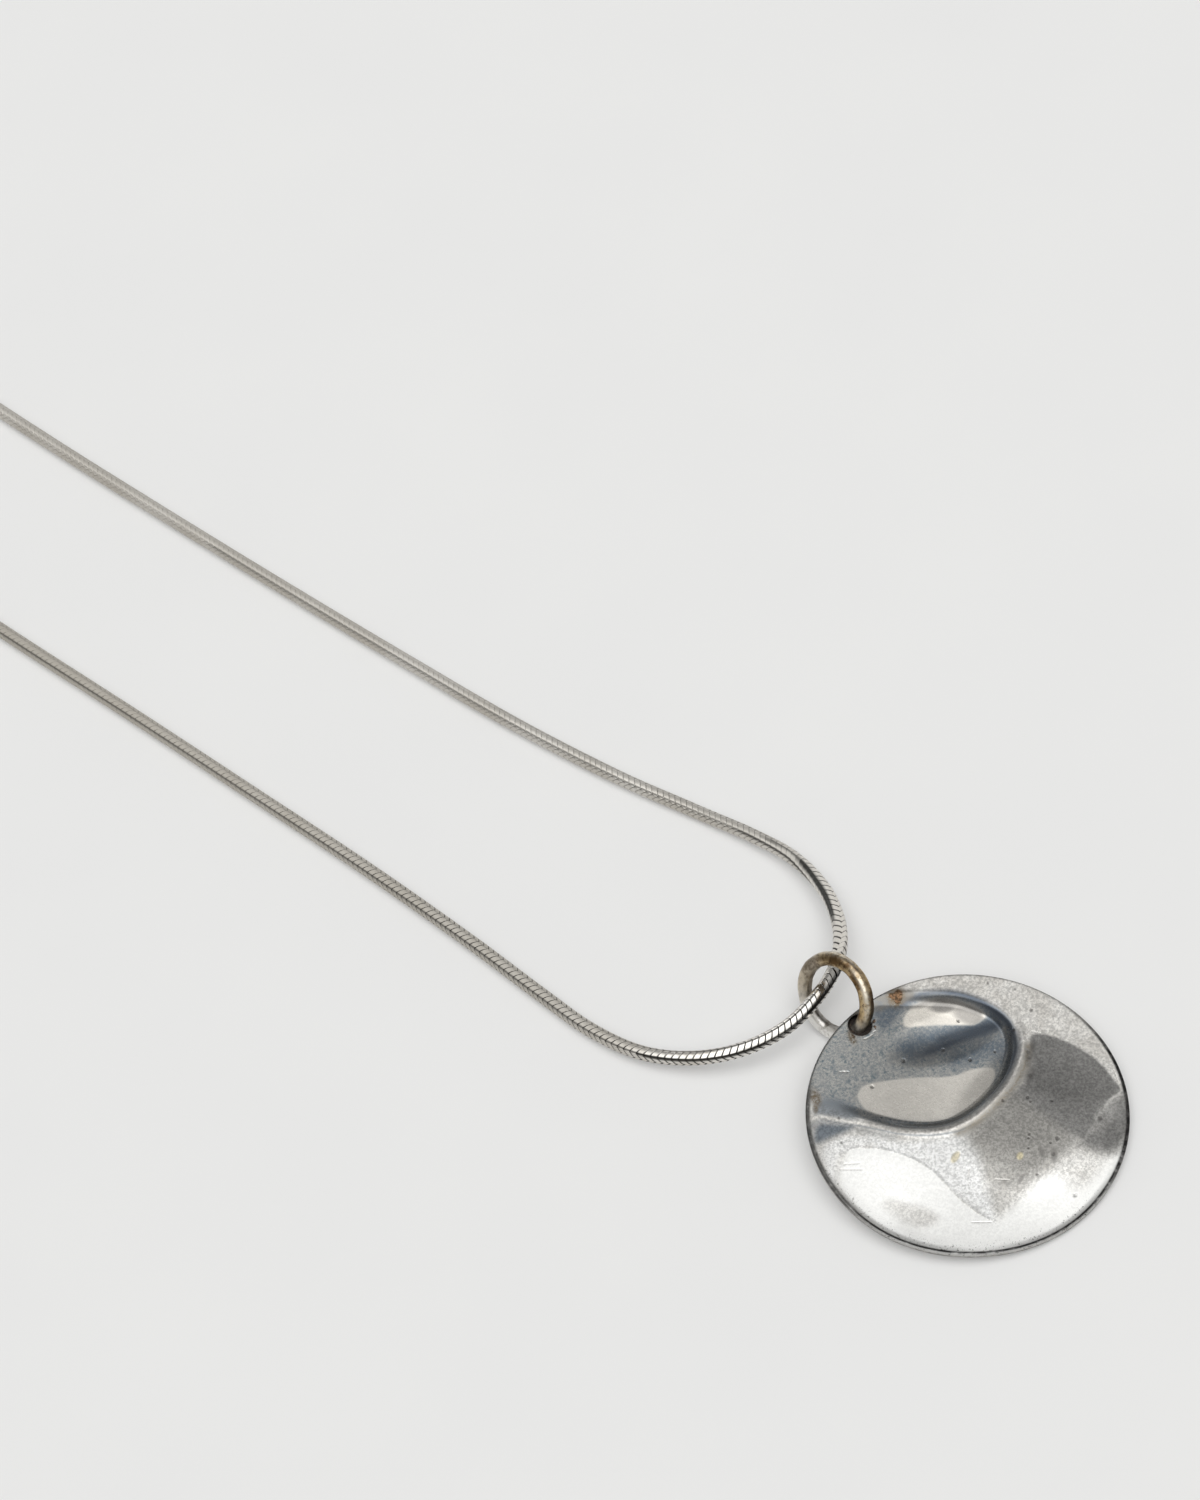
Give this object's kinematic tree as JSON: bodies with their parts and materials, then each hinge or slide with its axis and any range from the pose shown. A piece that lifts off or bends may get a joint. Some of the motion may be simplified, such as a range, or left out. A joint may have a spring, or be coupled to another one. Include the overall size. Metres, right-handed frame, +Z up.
{
  "type": "circle pendant necklace",
  "caption": "Round silver disc pendant with pressed relief, lying back up, hung by a jump ring on a round snake chain closed by a barrel clasp.",
  "frame": {"origin": "middle of the necklace's box, on the surface that it lies on", "axes": "+Y along the loop from the pendant to the clasp, +Z up from the surface, +X to the right when the disc's visible back is seen from above with the clasp away from the viewer"},
  "size_m": [0.032, 0.2489, 0.0085],
  "materials": {
    "cast_silver": "cast and part polished, tarnished in the scoop",
    "gilt_wire": "worn gilt over silver wire",
    "chain_silver": "pressed links, lightly tarnished",
    "turned_silver": "turned and polished"
  },
  "bodies": {
    "root": {"pendant_disc": "cast_silver", "jump_ring": "gilt_wire", "snake_chain": "chain_silver", "barrel_clasp": "turned_silver"}
  },
  "joints": []
}
